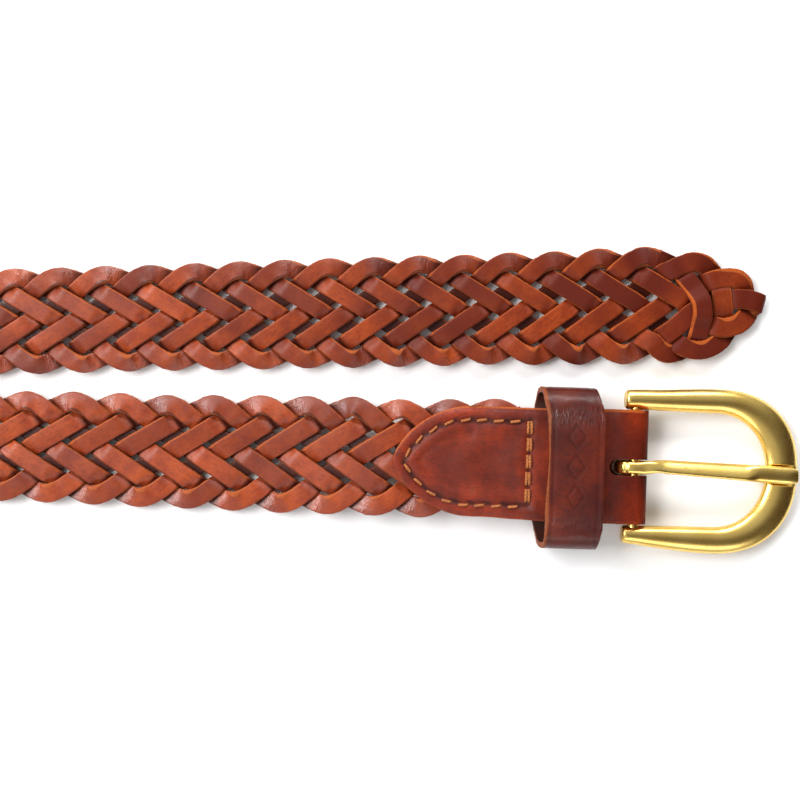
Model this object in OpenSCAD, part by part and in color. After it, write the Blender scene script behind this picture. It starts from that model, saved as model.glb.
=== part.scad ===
/* [Braid] */
// Width of the braided strap over its edge bights
strap_w = 35; // [32:0.5:38]
// Width of one flat lace
lace_w = 4.9; // [4.6:0.1:5]
// Thickness of one flat lace
lace_t = 1.8; // [1.6:0.1:1.9]
// Number of edge bights along the strap, which sets the braid's pitch
bights = 69; // [66:1:72]
/* [Lay] */
// Distance from the buckle's bar to the middle of the loop at the far end
loop_reach = 441; // [430:1:460]
// Radius of that loop, where the strap stands on its edge
loop_r = 46; // [44:1:48]
// Angle between the tip's run and the buckle's run
run_yaw = 3.38; // [2:0.02:3.8]
/* [Chape] */
// Width of the leather chape that holds the buckle
chape_w = 34.6; // [33:0.2:36]
// Length of the chape from the bar to the point of its tongue
chape_len = 75; // [70:1:85]
// Thickness of the chape leather
chape_t = 1.8; // [1.6:0.1:2]
/* [Keeper] */
// Width of the keeper loop along the strap
keeper_band = 17; // [12:0.5:18]
// Outside width of the keeper loop across the strap
keeper_w = 49; // [47:0.5:52]
// Outside height of the keeper loop
keeper_h = 17.2; // [16.6:0.2:20]
// Thickness of the keeper leather
keeper_t = 1.8; // [1.6:0.1:1.8]
/* [Buckle] */
// Widest outside size of the buckle frame, across the strap
frame_w = 50.3; // [49:0.1:52]
// Inside width of the buckle frame, which the strap passes through
frame_in_w = 35.8; // [35.6:0.1:37]
// Thickness of the buckle frame
frame_t = 5.2; // [4:0.1:5.4]
// Radius of the bar that the chape folds round
bar_r = 1.8; // [1.5:0.1:1.8]
/* [Hidden] */
STEPS = 7;                        // crossings that a lace makes from one edge to the other
leather = "#9c3f22";
dark_leather = "#6b2a1c";
thread = "#c98a3a";
brass = "#c9a84c";

// Levels, all above the surface that the belt lies on
braid_h = 4.2;                    // thickness of the braid where two laces cross
lace_lift = braid_h / 4;          // a lace's height off the braid's middle, over or under
chape_z = 2.4;                    // underside of the chape's back layer
chape_gap = braid_h;              // room between the chape's two layers
bar_z = chape_z + chape_t + chape_gap / 2;

// The bar's place before the whole belt is centred, and the belt's middle
bar_y = -21;
loop_out = loop_r + braid_h / 2;
belt_mid_x = (frame_w - loop_reach - loop_out) / 2;
tip = [39.3, 31.7];
braid_start = -34.5;              // the laces' ends between the chape's layers
lead_r = 150;                     // radius of the bends that lead into the loop
first_bight = 3.5;                // the first edge bight, past the laces' ends
last_bight = 34.6;                // the last regular edge bight, back from the tip

// The strap's route is a list of [length, turn in degrees]
loop_c = [-loop_reach, 0];
run_dir = [cos(run_yaw), sin(run_yaw)];
run_out = [-sin(run_yaw), cos(run_yaw)];
lead_a = acos(1 - (loop_r + bar_y) / (loop_r + lead_r));
lead_b = acos(1 - (loop_r - (tip - loop_c) * run_out) / (loop_r + lead_r));
loop_turn = 180 + lead_a + lead_b - run_yaw;
function arc_len(r, a) = r * a * PI / 180;
flat_a = braid_start + loop_reach - (loop_r + lead_r) * sin(lead_a);
flat_b = (tip - loop_c) * run_dir - (loop_r + lead_r) * sin(lead_b);
ROUTE = [
    [flat_a, 0], [arc_len(lead_r, lead_a), lead_a], [arc_len(loop_r, loop_turn), -loop_turn],
    [arc_len(lead_r, lead_b), lead_b], [flat_b, 0]
];
function total(list, i = 0) = i == len(list) ? 0 : list[i][0] + total(list, i + 1);
braid_len = total(ROUTE);
pitch = (braid_len - first_bight - last_bight) / bights;
step_s = pitch / 2;               // a lace crosses one other in this length of strap

// Place and heading [x, y, heading] at the distance s along the route
function moved(p, len, turn) = abs(turn) < 0.001
    ? [p.x + len * cos(p.z), p.y + len * sin(p.z), p.z]
    : let(r = len / (turn * PI / 180))
        [p.x + r * (sin(p.z + turn) - sin(p.z)), p.y - r * (cos(p.z + turn) - cos(p.z)), p.z + turn];
function walk(s, p, i = 0) = let(len = ROUTE[i][0])
    s <= len || i == len(ROUTE) - 1
        ? moved(p, s, ROUTE[i][1] * s / len)
        : walk(s - len, moved(p, len, ROUTE[i][1]), i + 1);
function place(s) = walk(s, [braid_start, bar_y, 180]);

// The strap lies flat, and turns through 90 degrees to stand on its edge round the loop
flat_start = 170.5;
flat_end = 245;                   // the flat stretch before the tip
twist_in = [flat_start, flat_a];
twist_out = [braid_len - flat_b, braid_len - flat_end];
function ease(t) = let(c = min(max(t, 0), 1)) c * c * (3 - 2 * c);
function part_of(s, span) = ease((s - span[0]) / (span[1] - span[0]));
function roll(s) = 90 * (part_of(s, twist_in) - part_of(s, twist_out));
rise = [38, 84];                  // the strap climbs to the chape's level along here
function mid_z(s) = strap_w / 2 * sin(roll(s)) + braid_h / 2 * cos(roll(s))
    + (bar_z - braid_h / 2) * (1 - part_of(s, rise));

// A point of the strap: s along it, w across it, h out of its face
function strap_point(v) = let(p = place(v.x), a = roll(v.x), out = [-sin(p.z), cos(p.z)],
        across = v.y * cos(a) + v.z * sin(a))
    [p.x + out.x * across, p.y + out.y * across, mid_z(v.x) - v.y * sin(a) + v.z * cos(a)];

// A lace's path by u, which counts its crossings: down across the strap to 7, and back to 14
bight_u = 0.6;
full_w = (strap_w - lace_w) / 2 / (1 - bight_u / STEPS);
slope_u = 2 * full_w / STEPS;
function cycle(u, n) = u - n * floor(u / n);
function side_y(v) = v < bight_u
    ? full_w - slope_u * (v * v / (2 * bight_u) + bight_u / 2)
    : full_w - slope_u * v;
function lace_y(u) = let(c = cycle(u, 2 * STEPS), v = c <= STEPS ? c : 2 * STEPS - c)
    v <= STEPS / 2 ? side_y(v) : -side_y(STEPS - v);
function lace_slope(u) = let(c = cycle(u, 2 * STEPS), v = c <= STEPS ? c : 2 * STEPS - c)
    (c <= STEPS ? -1 : 1) * min(1, v / bight_u, (STEPS - v) / bight_u);
function lace_s(u, k) = first_bight + step_s * (u + 2 * k);
function lace_side(u) = let(d = [step_s, slope_u * lace_slope(u)]) [-d.y, d.x] / norm(d);

// Under one, over two, under two, over one: the sign of the lace's height at crossings 1 to 6
OVER = [0, -1, 1, 1, -1, -1, 1, 0];
level = 0.345;                    // half the length of each level stretch, in crossings
function lace_h(u) = let(q = cycle(u, STEPS), i = floor(q), f = q - i,
        a = i == 0 ? 0 : level, b = i == STEPS - 1 ? 1 : 1 - level)
    lace_lift * (OVER[i] + (OVER[i + 1] - OVER[i]) * min(1, max(0, (f - a) / (b - a))));
lean = atan(slope_u / step_s);    // a lace's angle to the strap
skew = (1 / tan(lean) - tan(lean)) / 2 / norm([step_s, slope_u]); // rings lie along the lace they cross
RINGS = [0.3, 0.655, 1.345, 1.655, 2.5, 3.345, 3.655, 4.5, 5.345, 5.655, 6.345, 6.7, 7];

// A ring of four corners, in strap coordinates
function box_ring(a, b, ha, hb) = [
    [a.x, a.y, ha - lace_t / 2], [b.x, b.y, hb - lace_t / 2],
    [b.x, b.y, hb + lace_t / 2], [a.x, a.y, ha + lace_t / 2]
];
function lace_corner(u, e, k) = let(n = lace_side(u))
    [lace_s(u, k) + e * n.x, lace_y(u) + e * n.y, lace_h(u + skew * e * lace_slope(u))];
// Where the lace's edge meets a square cut across the strap at the distance s
function cut_u(s, e, k) = let(u = (s - first_bight) / step_s - 2 * k,
        v = u - e * lace_side(u).x / step_s) u - e * lace_side(v).x / step_s;
// A ring's corner, held back at the cuts; the leak keeps neighbouring corners apart
leak = 0.004;
function held_u(u, e, k, s0, s1) = let(v = u - skew * e * lace_slope(u),
        lo = cut_u(s0, e, k), hi = cut_u(s1, e, k))
    v < lo ? lo + leak * (v - lo + 4) : v > hi ? hi + leak * (v - hi - 4) : v;
function held_ring(u, k, s0, s1) = let(e = lace_w / 2,
        a = lace_corner(held_u(u, -e, k, s0, s1), -e, k), b = lace_corner(held_u(u, e, k, s0, s1), e, k))
    box_ring(a, b, a.z, b.z);
function cut_ring(s, k) = let(e = lace_w / 2,
        a = lace_corner(cut_u(s, -e, k), -e, k), b = lace_corner(cut_u(s, e, k), e, k))
    box_ring(a, b, a.z, b.z);

// The rings between two distances along the strap
reach_s = 3;                      // how far a leaning ring reaches along the strap
function rings_between(s0, s1, k) = let(n0 = floor((s0 / step_s - 2 * k) / STEPS) - 1,
        n1 = ceil((s1 / step_s - 2 * k) / STEPS) + 1)
    [for (n = [n0:n1], q = RINGS) let(u = n * STEPS + q, s = lace_s(u, k))
        if (s > s0 - reach_s / 2 && s < s1 + reach_s / 2) held_ring(u, k, s0, s1)];

// At the tip each lace leaves the regular braid and is woven back into a pointed knot.
// [distance back from the tip, distance across, height], from the braid to the lace's end
TIP_PATHS = [
    [[28.2, 10.8, 1], [25.8, 11.9, 1], [22, 13, 1], [18.5, 12.3, 0.5], [16.2, 10.4, -0.7],
        [15.1, 8.9, -1], [13.6, 5.4, -1], [13.3, 3.9, 0.9], [13.1, 1.5, 1], [12.9, -2, 1],
        [12.7, -3.7, 0.1], [12.6, -5, -1], [12.4, -7.6, -1]],
    [[24, 4.7, -1], [21, 5.7, -1], [18.6, 6.3, -0.9], [16.4, 7, 1], [13.7, 7.6, 1], [10, 7.7, 1],
        [7.4, 7, 1], [5.4, 5.8, 0.2], [4.3, 4.6, -1], [3.7, 3.2, -1]],
    [[33.2, -10.8, -1], [31.4, -9.6, 0.9], [30, -8.7, 1], [27.3, -6.8, 1], [25.2, -5, 1], [23.2, -3.3, 1],
        [21, -1.9, 1], [19.2, -0.8, 0.9], [17.7, 0.1, -0.6], [16.4, 0.7, -1], [12.9, 1, -1],
        [10.7, 1.1, -0.6], [9, 1.2, 1], [5.5, 1.2, 1], [2.8, 0.8, 0.8], [0.4, 0.5, -0.2]],
    [[35, -12, 1.2], [33.4, -13.8, 1.1], [31.4, -15.1, 0.4], [29.8, -15.4, -0.6], [28.6, -15.3, -1],
        [27.4, -14.8, -1]],
    [[35.2, -3, -1], [33, -5.4, -1], [30.6, -8, -1], [28.9, -10.2, -1], [27.6, -11.9, 0.1],
        [26.4, -12.9, 1], [23, -14.3, 1], [19.2, -14.4, 1], [15.8, -13.1, 0.9], [13.9, -11.9, -0.4],
        [12.9, -11.1, -1]],
    [[28, 2.8, 1], [26.2, 1.7, 1], [25.2, 1, 0.9], [23.6, -0.3, -1], [21.4, -2.2, -1], [18.8, -5.1, -1],
        [17.2, -6.3, -0.9], [15.9, -7.1, 0.5], [14.6, -7.5, 1], [12.4, -7.8, 1], [8.6, -6.9, 1],
        [6.4, -5.3, 0.8], [5.1, -3.9, -0.6], [4.4, -2.9, -1]],
    [[28.4, 12.2, -1], [26.6, 10.8, -1], [25.3, 9.6, -1], [24.2, 8, 0.8], [23.4, 6.8, 1], [21.9, 4.6, 1.3],
        [20.8, 2.6, 2.1], [20, 0.4, 2.9], [19.7, -1.8, 2.9], [19.7, -3.9, 2.9], [19.9, -5.4, 2.3],
        [20.3, -7.6, 1.1], [20.9, -10.2, 0.7], [21.1, -11.3, -0.8], [21.3, -12.4, -1]]
];
tip_join = [29.7, 24.7, 36, 37, 37, 29, 31]; // each lace's last regular ring, back from the tip
function tip_rings(k) = let(path = TIP_PATHS[k], n = len(path))
    [for (i = [0:n - 1]) let(a = path[max(0, i - 1)], b = path[min(n - 1, i + 1)],
            d = [a.x - b.x, b.y - a.y], side = [-d.y, d.x] / norm(d) * lace_w / 2,
            c = [braid_len - path[i].x, path[i].y], h = path[i].z * lace_lift)
        box_ring(c - side, c + side, h, h)];

// A closed solid through a list of four-cornered rings
module lace(rings) {
    n = len(rings);
    points = [for (r = rings, v = r) strap_point(v)];
    sides = [for (i = [0:n - 2], j = [0:3]) let(a = 4 * i + j, b = 4 * i + (j + 1) % 4)
        each [[a, a + 4, b], [b, a + 4, b + 4]]];
    ends = [[0, 1, 2], [0, 2, 3], [4 * n - 2, 4 * n - 3, 4 * n - 4], [4 * n - 1, 4 * n - 2, 4 * n - 4]];
    color(leather) polyhedron(points, concat(sides, ends));
}

// The strap bends at these two places, where its laces are cut with a small gap between the ends
flex_gap = 2;
buckle_flex = 118;
tip_flex = braid_len - 200;
module lace_middle(k) {
    s0 = buckle_flex + flex_gap / 2;
    s1 = tip_flex - flex_gap / 2;
    lace(concat([cut_ring(s0, k)], rings_between(s0, s1, k), [cut_ring(s1, k)]));
}
module lace_tip(k) {
    s0 = tip_flex + flex_gap / 2;
    s1 = braid_len - tip_join[k];
    lace(concat([cut_ring(s0, k)], rings_between(s0, s1 - reach_s / 2, k), tip_rings(k)));
}
module lace_buckle_end(k) {
    s1 = buckle_flex - flex_gap / 2;
    lace(concat([cut_ring(0, k)], rings_between(0, s1, k), [cut_ring(s1, k)]));
}

// Chape: one piece of leather folded round the bar, with a pointed tongue over and under the braid
slot_w = 6;
slot_end = -8.3;
tongue_l = 25;
tongue_r = (tongue_l * tongue_l + chape_w * chape_w / 4) / chape_w;
fold_in = chape_gap / 2;
module at_bar() translate([-belt_mid_x, bar_y, bar_z]) children();
straight = chape_len - tongue_l;  // length of the chape's straight sides
module chape_outline() {
    translate([-straight, -chape_w / 2]) square([straight, chape_w]);
    intersection() {
        translate([-straight, chape_w / 2 - tongue_r]) circle(r = tongue_r, $fn = 96);
        translate([-straight, tongue_r - chape_w / 2]) circle(r = tongue_r, $fn = 96);
        translate([-chape_len, -chape_w / 2]) square([tongue_l, chape_w]);
    }
}
module chape_layer() linear_extrude(chape_t) chape_outline();
module chape() {
    color(dark_leather) at_bar() difference() {
        union() {
            translate([0, 0, fold_in]) chape_layer();
            translate([0, 0, -fold_in - chape_t]) chape_layer();
            rotate([90, 0, 0]) intersection() {
                translate([0, 0, -chape_w / 2]) difference() {
                    cylinder(h = chape_w, r = fold_in + chape_t, $fn = 64);
                    translate([0, 0, -1]) cylinder(h = chape_w + 2, r = fold_in, $fn = 64);
                }
                translate([0, -10, -chape_w]) cube([10, 20, 2 * chape_w]);
            }
        }
        translate([slot_end + slot_w / 2, -slot_w / 2, -10]) cube([20, slot_w, 20]);
        translate([slot_end + slot_w / 2, 0, -10]) cylinder(h = 20, d = slot_w, $fn = 48);
    }
}
filler_x = -34;                   // the filler starts where the laces end
filler = [24.5, 31, chape_gap - 0.2];
module chape_filler() {
    color(dark_leather) at_bar() translate([filler_x, -filler.y / 2, -filler.z / 2]) cube(filler);
}

// Stitching: short cylinders half sunk in the leather on both faces of the chape
thread_r = 0.4;
stitch_l = 3;
stitch_pitch = 5;
stitch_inset = 3.8;
cross_x = -33;
cross_pitch = 5.2;
cross_l = 4;
cross_r = 0.45;                   // two of these lie side by side
module stitch(x, y, turn, len, r) {
    for (z = [fold_in + chape_t, -fold_in - chape_t])
        translate([x, y, z]) rotate([0, 0, turn]) rotate([0, 90, 0])
            translate([0, 0, -len / 2]) cylinder(h = len, r = r, $fn = 16);
}
module tongue_stitching() {
    straight_x = 1.5 - straight;
    edge_y = chape_w / 2 - stitch_inset;
    r = tongue_r - stitch_inset;
    half_turn = acos((tongue_r - chape_w / 2) / r);
    count = 5;
    color(thread) at_bar() for (side = [-1, 1]) {
        for (i = [0:2]) stitch(straight_x + i * stitch_pitch, side * edge_y, 0, stitch_l, thread_r);
        for (i = [0:count - 1]) {
            a = half_turn * (i + 0.5) / count;
            stitch(-straight - r * sin(a), side * (r * cos(a) + chape_w / 2 - tongue_r),
                side * a, stitch_l, thread_r);
        }
    }
}
module cross_stitching() {
    color(thread) at_bar() for (i = [-2:2], side = [-1, 1])
        stitch(cross_x + side * cross_r, i * cross_pitch, 90, cross_l, cross_r);
}

// Keeper: a leather loop round the chape, closed underneath with a wire staple
keeper_x = -27.5;
keeper_round = 6;
staple_legs = 4;                  // half the distance between the staple's two legs
staple_w = 6;
staple_r = 0.4;
module keeper_outline(t) {
    w = keeper_w - 2 * t;
    h = keeper_h - 2 * t;
    r = keeper_round - t;
    translate([-w / 2, t + r]) square([w, h - 2 * r]);
    translate([r - w / 2, t]) square([w - 2 * r, h]);
    for (x = [r - w / 2, w / 2 - r], y = [t + r, t + h - r]) translate([x, y]) circle(r = r, $fn = 48);
}
module keeper() {
    color(dark_leather) translate([keeper_x - belt_mid_x, bar_y, 0])
        rotate([90, 0, 90]) linear_extrude(keeper_band) difference() {
            keeper_outline(0);
            keeper_outline(keeper_t);
        }
}
module keeper_staple() {
    color(brass) translate([keeper_x + keeper_band / 2 - belt_mid_x, bar_y, staple_r])
        for (x = [-staple_legs, staple_legs]) translate([x, 0, 0]) rotate([90, 0, 0])
            translate([0, 0, -staple_w / 2]) cylinder(h = staple_w, r = staple_r, $fn = 16);
}

// Buckle: a horseshoe frame, leaning down from the bar so that its nose rests on the surface
nose_x = 51.4;                    // from the bar to the nose's outside
outer_cx = 25;                    // where the outside starts to curve
frame_lean = asin((bar_z - frame_t / 2) / nose_x);
arm_start = -3.3;
arm_w0 = 46.6;                    // outside width at the arms' ends
inner_x = 40.7;                   // from the bar to the nose's inside
inner_cx = 22.5;                  // where the inside starts to curve
roundness = 2.35;                 // 2 would make the nose an ellipse
seat_w = 6;
prong_t = 2.7;
prong_z = 3.3;                    // middle of the prong above the bar
seat_z = prong_z - prong_t / 2 - 0.35;
module at_frame() at_bar() rotate([0, frame_lean, 0]) children();
function nose(cx, rx, ry) = [for (i = [-24:24]) let(a = i * 90 / 24)
    [cx + rx * pow(cos(a), 2 / roundness), ry * sign(i) * pow(abs(sin(a)), 2 / roundness)]];
function reversed(list) = [for (i = [len(list) - 1:-1:0]) list[i]];
module frame_outline() {
    polygon(concat(
        [[arm_start, frame_in_w / 2], [arm_start, arm_w0 / 2]],
        reversed(nose(outer_cx, nose_x - outer_cx, frame_w / 2)),
        [[arm_start, -arm_w0 / 2], [arm_start, -frame_in_w / 2]],
        nose(inner_cx, inner_x - inner_cx, frame_in_w / 2)
    ));
}
module buckle_frame() {
    color(brass) at_frame() difference() {
        translate([0, 0, -frame_t / 2]) linear_extrude(frame_t) frame_outline();
        rotate([90, 0, 0]) translate([0, 0, -30]) cylinder(h = 60, r = bar_r, $fn = 48);
        translate([inner_cx, -seat_w / 2, seat_z]) cube([40, seat_w, 5]);
    }
}
peened = 0.2;                     // how far the bar's ends stand out of the arms
module buckle_bar() {
    len = arm_w0 + 2 * peened;
    color(brass) at_frame() rotate([90, 0, 0])
        translate([0, 0, -len / 2]) cylinder(h = len, r = bar_r, $fn = 48);
}

// Prong: curled round the bar, and lying in the seat in the frame's nose
curl_in = bar_r + 0.07;
curl_out = prong_z + prong_t / 2;
root_w = 4.1;
root_l = 12;
prong_w = 5.3;
prong_end = nose_x - 0.4;
module prong() {
    color(brass) at_frame() {
        rotate([90, 0, 0]) translate([0, 0, -root_w / 2]) linear_extrude(root_w) difference() {
            union() {
                circle(r = curl_out, $fn = 64);
                translate([0, prong_z - prong_t / 2]) square([root_l, prong_t]);
            }
            circle(r = curl_in, $fn = 48);
        }
        translate([root_l - 1, -prong_w / 2, prong_z - prong_t / 2])
            cube([prong_end - root_l + 1, prong_w, prong_t]);
    }
}

module centred() translate([-belt_mid_x, 0, 0]) children();
centred() lace_middle(0);  // lace_1
centred() lace_middle(1);  // lace_2
centred() lace_middle(2);  // lace_3
centred() lace_middle(3);  // lace_4
centred() lace_middle(4);  // lace_5
centred() lace_middle(5);  // lace_6
centred() lace_middle(6);  // lace_7
centred() lace_tip(0);  // lace_1_tip
centred() lace_tip(1);  // lace_2_tip
centred() lace_tip(2);  // lace_3_tip
centred() lace_tip(3);  // lace_4_tip
centred() lace_tip(4);  // lace_5_tip
centred() lace_tip(5);  // lace_6_tip
centred() lace_tip(6);  // lace_7_tip
centred() lace_buckle_end(0);  // lace_1_buckle_end
centred() lace_buckle_end(1);  // lace_2_buckle_end
centred() lace_buckle_end(2);  // lace_3_buckle_end
centred() lace_buckle_end(3);  // lace_4_buckle_end
centred() lace_buckle_end(4);  // lace_5_buckle_end
centred() lace_buckle_end(5);  // lace_6_buckle_end
centred() lace_buckle_end(6);  // lace_7_buckle_end
chape();
chape_filler();
tongue_stitching();
cross_stitching();
keeper();
keeper_staple();
buckle_frame();
buckle_bar();
prong();
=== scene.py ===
import math

import bpy
import numpy as np
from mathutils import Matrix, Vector


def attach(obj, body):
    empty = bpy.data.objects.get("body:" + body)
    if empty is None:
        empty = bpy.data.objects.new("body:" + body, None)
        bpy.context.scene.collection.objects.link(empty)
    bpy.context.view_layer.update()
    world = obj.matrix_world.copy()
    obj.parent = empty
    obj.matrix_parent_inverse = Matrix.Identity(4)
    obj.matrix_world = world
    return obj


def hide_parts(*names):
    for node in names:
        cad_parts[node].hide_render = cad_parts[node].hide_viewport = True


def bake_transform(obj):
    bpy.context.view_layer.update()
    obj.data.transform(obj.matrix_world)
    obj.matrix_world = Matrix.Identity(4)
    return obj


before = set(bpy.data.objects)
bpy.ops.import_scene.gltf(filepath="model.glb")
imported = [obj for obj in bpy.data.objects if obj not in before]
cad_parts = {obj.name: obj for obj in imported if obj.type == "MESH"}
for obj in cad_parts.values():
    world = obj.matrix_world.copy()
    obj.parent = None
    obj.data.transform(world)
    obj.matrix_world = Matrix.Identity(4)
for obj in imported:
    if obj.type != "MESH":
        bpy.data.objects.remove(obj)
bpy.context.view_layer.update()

# ------ sizes, in mm
STRAP_W, LACE_W, LACE_T, BIGHTS = 35.0, 5.95, 1.8, 69
LOOP_REACH, LOOP_R, LEAD_R = 441.0, 46.0, 150.0
RUN_YAW = math.radians(3.38)
CHAPE_W, CHAPE_LEN, CHAPE_T = 34.6, 75.0, 1.8
KEEPER_BAND, KEEPER_W, KEEPER_H, KEEPER_T, KEEPER_X = 17.0, 49.0, 17.2, 1.8, -27.5
FRAME_W, FRAME_IN_W, FRAME_T, BAR_R = 50.3, 35.8, 5.2, 1.8
BRAID_H = 4.2
LIFT = BRAID_H / 4
CHAPE_Z, CHAPE_GAP = 2.4, 4.2
BAR_Z = CHAPE_Z + CHAPE_T + CHAPE_GAP / 2
BAR_Y = -21.0
MID_X = (FRAME_W - LOOP_REACH - LOOP_R - BRAID_H / 2) / 2
TIP = (39.3, 31.7)
BRAID_START = -34.5
FIRST_BIGHT, LAST_BIGHT = 3.5, 34.6

# ------ the strap's route
run_dir = np.array([math.cos(RUN_YAW), math.sin(RUN_YAW)])
run_out = np.array([-run_dir[1], run_dir[0]])
from_loop = np.array([TIP[0] + LOOP_REACH, TIP[1]])
lead_a = math.acos(1 - (LOOP_R + BAR_Y) / (LOOP_R + LEAD_R))
lead_b = math.acos(1 - (LOOP_R - from_loop @ run_out) / (LOOP_R + LEAD_R))
loop_turn = math.pi + lead_a + lead_b - RUN_YAW
flat_a = BRAID_START + LOOP_REACH - (LOOP_R + LEAD_R) * math.sin(lead_a)
flat_b = from_loop @ run_dir - (LOOP_R + LEAD_R) * math.sin(lead_b)
ROUTE = [
    (flat_a, 0.0), (LEAD_R * lead_a, lead_a), (LOOP_R * loop_turn, -loop_turn),
    (LEAD_R * lead_b, lead_b), (flat_b, 0.0),
]
BRAID_LEN = sum(length for length, turn in ROUTE)
STEP_S = (BRAID_LEN - FIRST_BIGHT - LAST_BIGHT) / BIGHTS / 2
TWIST_IN = (170.5, flat_a)         # where along the strap it turns up on its edge
TWIST_OUT = (BRAID_LEN - flat_b, BRAID_LEN - 245)     # and where it lies down again
RISE = (38, 84)                   # where it comes down from the chape to the surface


def share(t):
    """t kept within 0..1."""
    return np.clip(t, 0, 1)


def ease(t):
    c = share(t)
    return c * c * (3 - 2 * c)


def part_of(s, span):
    return ease((s - span[0]) / (span[1] - span[0]))


def hump(x, at, spread):
    """A smooth bump of height 1, with its top where x is at."""
    return np.exp(-((x - at) / spread) ** 2)


def units(v):
    """The rows of v at length 1."""
    return v / np.linalg.norm(v, axis=1)[:, None]


def onward(start, length, turn, dist):
    """[x, y, heading] after dist mm of a part of the route that begins at start."""
    x, y, a = start
    b = a + dist * turn / length
    if turn == 0:
        return np.array([x + dist * math.cos(a), y + dist * math.sin(a), b])
    r = length / turn
    return np.array([x + r * (np.sin(b) - math.sin(a)), y - r * (np.cos(b) - math.cos(a)), b])


def place(s):
    """Place and heading at each distance along the route."""
    s = np.asarray(s, float)
    out = np.zeros((3,) + s.shape)
    start, s0 = (BRAID_START, BAR_Y, math.pi), 0.0
    for i, (length, turn) in enumerate(ROUTE):
        here = s >= (s0 if i else -math.inf)
        out[:, here] = onward(start, length, turn, s[here] - s0)
        start = onward(start, length, turn, length)
        s0 += length
    return out


def strap_point(v):
    """Points [along, across, height] of the strap (n, 3) in the row frame, mm."""
    s, w, h = v[:, 0], v[:, 1], v[:, 2]
    x, y, heading = place(s)
    roll = math.pi / 2 * (part_of(s, TWIST_IN) - part_of(s, TWIST_OUT))
    mid_z = (STRAP_W / 2 * np.sin(roll) + BRAID_H / 2 * np.cos(roll)
             + (BAR_Z - BRAID_H / 2) * (1 - part_of(s, RISE)))
    across = w * np.cos(roll) + h * np.sin(roll)
    return np.stack([x - np.sin(heading) * across - MID_X, y + np.cos(heading) * across,
                     mid_z - w * np.sin(roll) + h * np.cos(roll)], 1)


# ------ a lace's path
STEPS, BIGHT_U = 7, 1.1           # crossings from edge to edge, and those that a bight curves over
HALF_LACE = LACE_W / 2
FULL_W = (STRAP_W - LACE_W) / 2 / (1 - BIGHT_U / STEPS) - 0.25
SLOPE_U = 2 * FULL_W / STEPS
OVER = np.array([0, -1, 1, 1, -1, -1, 1, 0.0])
LEVEL = 0.35                      # share of a crossing's step that stays level on each side of it
LEAN = math.atan(SLOPE_U / STEP_S)
SKEW = (1 / math.tan(LEAN) - math.tan(LEAN)) / 2 / math.hypot(STEP_S, SLOPE_U)
PEAK_SHIFT = (1.3, 2.0)           # mm that a lace leads its bight by, on the left and the right edge
SAG = 0.35                        # mm of each lace's slight S between its bights

# The braid's real width and pitch vary along the strap: [distance along, share]
WIDTHS = [(0, 1.02), (39, 1.03), (68, 1.055), (93, 1.02), (108, 0.995), (152, 0.98), (230, 1.0),
          (BRAID_LEN - 300, 1.0), (BRAID_LEN - 220, 0.935), (BRAID_LEN - 133, 0.985),
          (BRAID_LEN - 81, 1.005), (BRAID_LEN - 36, 1.04), (BRAID_LEN, 1.04)]
TIGHT, TIGHT_FROM, TIGHT_TO, LOOSE_TO = 0.04, 30.0, 252.0, 560.0
EASE_IN, SLIP = 15.0, (0.4, 0.9)   # mm over which it tightens, and mm that its two ends slip


def width_at(s):
    x, w = np.array(WIDTHS).T
    i = np.clip(np.searchsorted(x, s) - 1, 0, len(x) - 2)
    return w[i] + (w[i + 1] - w[i]) * ease((s - x[i]) / (x[i + 1] - x[i]))


def pitched(s):
    """Moves the lattice along: tighter before the tip, and looser in the middle to make up for it."""
    back = BRAID_LEN - s
    spare = TIGHT * (TIGHT_TO - TIGHT_FROM)
    at = [TIGHT_FROM, TIGHT_FROM + EASE_IN, TIGHT_TO, LOOSE_TO]
    return s + np.interp(back, at, [0, -SLIP[0], spare - SLIP[1], 0])


def drift(s):
    """The braid comes out of the chape a little to one side."""
    return (-0.35 * (1 - ease((s - 70) / 40)) - 0.3 * (1 - ease((s - 22) / 20))
            - 1.3 * (1 - ease((s - 16) / 14)))


def folded(u):
    c = np.mod(u, 2 * STEPS)
    return c, np.where(c <= STEPS, c, 2 * STEPS - c)


def past_bight(u):
    """Crossings since the nearest bight, negative before it, and the side that the bight is on."""
    c, v = folded(u)
    past = np.where(v < STEPS / 2, np.where(c <= STEPS, v, -v), np.where(c <= STEPS, v - STEPS, STEPS - v))
    return past, np.where(v < STEPS / 2, 1, -1)


def lace_y(u):
    c, v = folded(u)
    near = np.where(v <= STEPS / 2, v, STEPS - v)
    y = FULL_W - SLOPE_U * np.where(near < BIGHT_U, near ** 2 / (2 * BIGHT_U) + BIGHT_U / 2, near)
    past, side = past_bight(u)
    return (np.where(v <= STEPS / 2, y, -y) - SAG * np.sin(2 * math.pi * v / STEPS)
            - np.where(side > 0, *PEAK_SHIFT) * side * past * np.exp(-past ** 2))


def lace_slope(u):
    c, v = folded(u)
    return np.where(c <= STEPS, -1, 1) * np.minimum(1, np.minimum(v, STEPS - v) / BIGHT_U)


def lace_h(u):
    """Height in units of LIFT: smooth steps between level stretches, and a quarter wave at the end."""
    q = np.mod(u, STEPS)
    i = np.minimum(q.astype(int), STEPS - 1)
    f = q - i
    a = np.where(i == 0, 0, LEVEL)
    b = np.where(i == STEPS - 1, 1, 1 - LEVEL)
    t = share((f - a) / (b - a))
    t = np.where(i == STEPS - 1, 1 - np.cos(t * math.pi / 2), t * t * (3 - 2 * t))
    return OVER[i] + (OVER[i + 1] - OVER[i]) * t


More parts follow.
